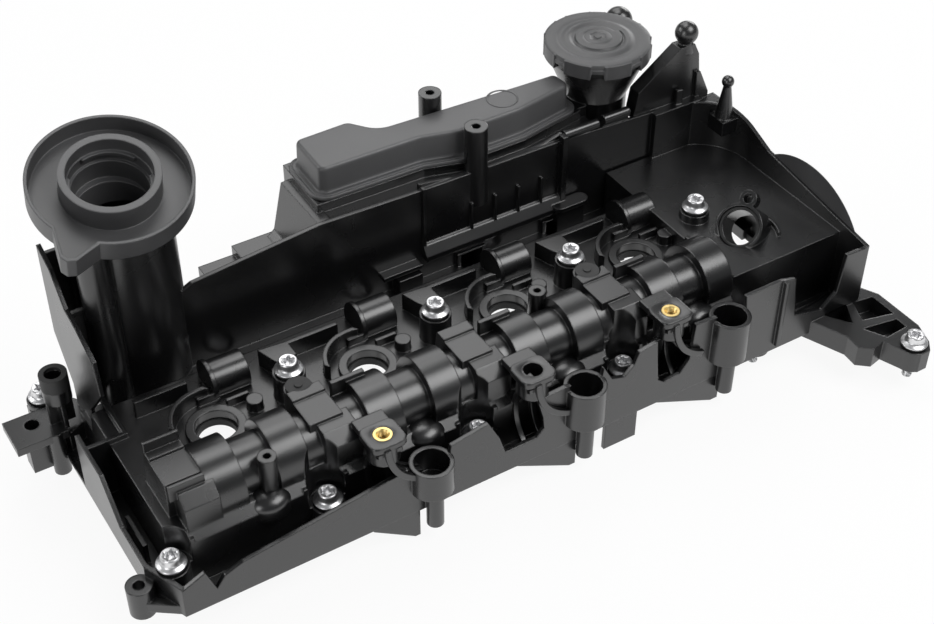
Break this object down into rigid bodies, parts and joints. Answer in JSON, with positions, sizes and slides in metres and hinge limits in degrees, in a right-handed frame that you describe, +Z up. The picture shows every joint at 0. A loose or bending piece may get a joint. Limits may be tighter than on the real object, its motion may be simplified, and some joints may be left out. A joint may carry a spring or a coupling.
{
  "type": "engine valve cover",
  "caption": "Black plastic valve cover with injector wells, cam humps, oil filler neck with drip dish, oil separator, pressure valve and captive flange screws.",
  "frame": {"origin": "centre of the first injector well in the plane of its mouth", "axes": "+X along the crankshaft towards the timing end, +Y towards the oil separator, +Z up out of the tray"},
  "size_m": [0.5055, 0.2735, 0.1809],
  "materials": {
    "moulding": "satin black glass-filled nylon",
    "rubber": "matte black rubber",
    "zinc_steel": "bright zinc plating",
    "spring_steel": "bright wire",
    "brass": "machined brass"
  },
  "bodies": {
    "cover": {"cover_body": "moulding", "filler_funnel": "moulding", "separator_lid": "moulding", "separator_baffle": "moulding", "drain_valve": "rubber", "valve_cap": "moulding", "valve_diaphragm": "rubber", "valve_spring": "spring_steel", "perimeter_gasket": "rubber", "injector_well_seals": "rubber", "sensor_port_seal": "rubber", "screw_sleeves": "zinc_steel", "screw_grommets": "rubber", "mount_bush": "rubber", "brass_insert_1": "brass", "brass_insert_2": "brass", "rubber_plug_1": "rubber", "rubber_plug_2": "rubber"},
    "plunger": {"diaphragm_plate": "moulding"},
    "front_screw_1_body": {"front_screw_1": "zinc_steel"},
    "front_screw_2_body": {"front_screw_2": "zinc_steel"},
    "front_screw_3_body": {"front_screw_3": "zinc_steel"},
    "front_screw_4_body": {"front_screw_4": "zinc_steel"},
    "centre_screw_1_body": {"centre_screw_1": "zinc_steel"},
    "centre_screw_2_body": {"centre_screw_2": "zinc_steel"},
    "centre_screw_3_body": {"centre_screw_3": "zinc_steel"},
    "centre_screw_4_body": {"centre_screw_4": "zinc_steel"},
    "rear_screw_1_body": {"rear_screw_1": "zinc_steel"},
    "rear_screw_2_body": {"rear_screw_2": "zinc_steel"},
    "rear_screw_3_body": {"rear_screw_3": "zinc_steel"},
    "lug_screw_body": {"lug_screw": "zinc_steel"},
    "well_screw_body": {"well_screw": "zinc_steel"},
    "bracket_screw_body": {"bracket_screw": "zinc_steel"}
  },
  "joints": [
    {"name": "plunger_slide", "type": "slide", "parent": "cover", "child": "plunger", "axis": [0, 0, -1], "range_m": [0, 0.004], "stiffness_N_per_m": 150, "springref_m": -0.002, "deforming": ["valve_spring", "valve_diaphragm"]},
    {"name": "front_screw_1_slide", "type": "slide", "parent": "cover", "child": "front_screw_1_body", "axis": [0, 0, 1], "range_m": [0, 0.008]},
    {"name": "front_screw_2_slide", "type": "slide", "parent": "cover", "child": "front_screw_2_body", "axis": [0, 0, 1], "range_m": [0, 0.008]},
    {"name": "front_screw_3_slide", "type": "slide", "parent": "cover", "child": "front_screw_3_body", "axis": [0, 0, 1], "range_m": [0, 0.008]},
    {"name": "front_screw_4_slide", "type": "slide", "parent": "cover", "child": "front_screw_4_body", "axis": [0, 0, 1], "range_m": [0, 0.008]},
    {"name": "centre_screw_1_slide", "type": "slide", "parent": "cover", "child": "centre_screw_1_body", "axis": [0, 0, 1], "range_m": [0, 0.008]},
    {"name": "centre_screw_2_slide", "type": "slide", "parent": "cover", "child": "centre_screw_2_body", "axis": [0, 0, 1], "range_m": [0, 0.008]},
    {"name": "centre_screw_3_slide", "type": "slide", "parent": "cover", "child": "centre_screw_3_body", "axis": [0, 0, 1], "range_m": [0, 0.008]},
    {"name": "centre_screw_4_slide", "type": "slide", "parent": "cover", "child": "centre_screw_4_body", "axis": [0, 0, 1], "range_m": [0, 0.008]},
    {"name": "rear_screw_1_slide", "type": "slide", "parent": "cover", "child": "rear_screw_1_body", "axis": [0, 0, 1], "range_m": [0, 0.008]},
    {"name": "rear_screw_2_slide", "type": "slide", "parent": "cover", "child": "rear_screw_2_body", "axis": [0, 0, 1], "range_m": [0, 0.008]},
    {"name": "rear_screw_3_slide", "type": "slide", "parent": "cover", "child": "rear_screw_3_body", "axis": [0, 0, 1], "range_m": [0, 0.008]},
    {"name": "lug_screw_slide", "type": "slide", "parent": "cover", "child": "lug_screw_body", "axis": [0, 0, 1], "range_m": [0, 0.008]},
    {"name": "well_screw_slide", "type": "slide", "parent": "cover", "child": "well_screw_body", "axis": [0, 0, 1], "range_m": [0, 0.008]},
    {"name": "bracket_screw_slide", "type": "slide", "parent": "cover", "child": "bracket_screw_body", "axis": [0, 0, 1], "range_m": [0, 0.008]}
  ]
}
